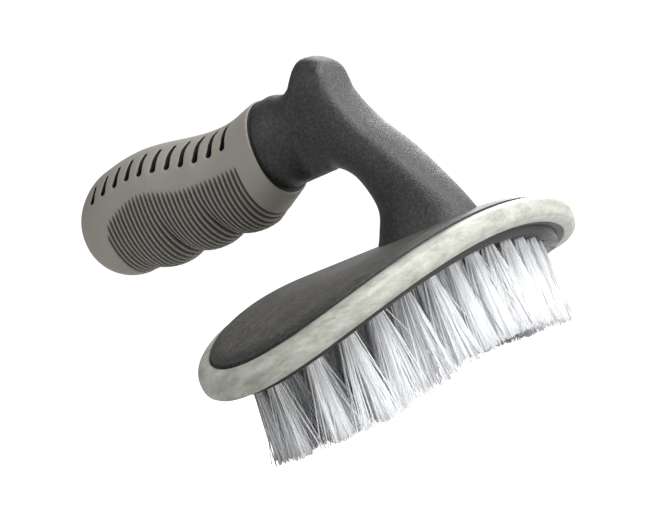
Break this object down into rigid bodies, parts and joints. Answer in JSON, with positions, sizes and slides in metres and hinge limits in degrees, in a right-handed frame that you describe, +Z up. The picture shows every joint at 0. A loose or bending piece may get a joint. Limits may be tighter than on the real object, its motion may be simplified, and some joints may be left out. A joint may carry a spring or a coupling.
{
  "type": "wheel brush",
  "caption": "Hand brush for wheels and tyres: arched oval head with a rubber bumper and fanned bristles, a neck with a thumb rest, and a level soft grip pointing rearwards.",
  "frame": {"origin": "on the floor under the middle of the brush's box, with the brush standing on its bristles", "axes": "+X along the head, +Y rearwards along the grip, +Z up, away from the bristles"},
  "size_m": [0.206, 0.1572, 0.1167],
  "materials": {
    "black_plastic": "fine leathery grain, moulded",
    "core_plastic": "plain moulded",
    "block_plastic": "smooth moulded",
    "grip_rubber": "matt soft-touch, warm grey",
    "bumper_rubber": "soft satin, pale grey-green",
    "bristle_nylon": "translucent white filaments",
    "staple_wire": "drawn flat wire",
    "screw_steel": "zinc plated"
  },
  "bodies": {
    "root": {"head_cover": "black_plastic", "bumper_rim": "bumper_rubber", "neck": "black_plastic", "handle_core": "core_plastic", "grip_sleeve": "grip_rubber", "bristle_block": "block_plastic", "block_screws": "screw_steel", "tufts_outer_row": "bristle_nylon", "tufts_second_row": "bristle_nylon", "tufts_third_row": "bristle_nylon", "tufts_centre_row": "bristle_nylon", "staples_outer_row": "staple_wire", "staples_second_row": "staple_wire", "staples_third_row": "staple_wire", "staples_centre_row": "staple_wire"}
  },
  "joints": []
}
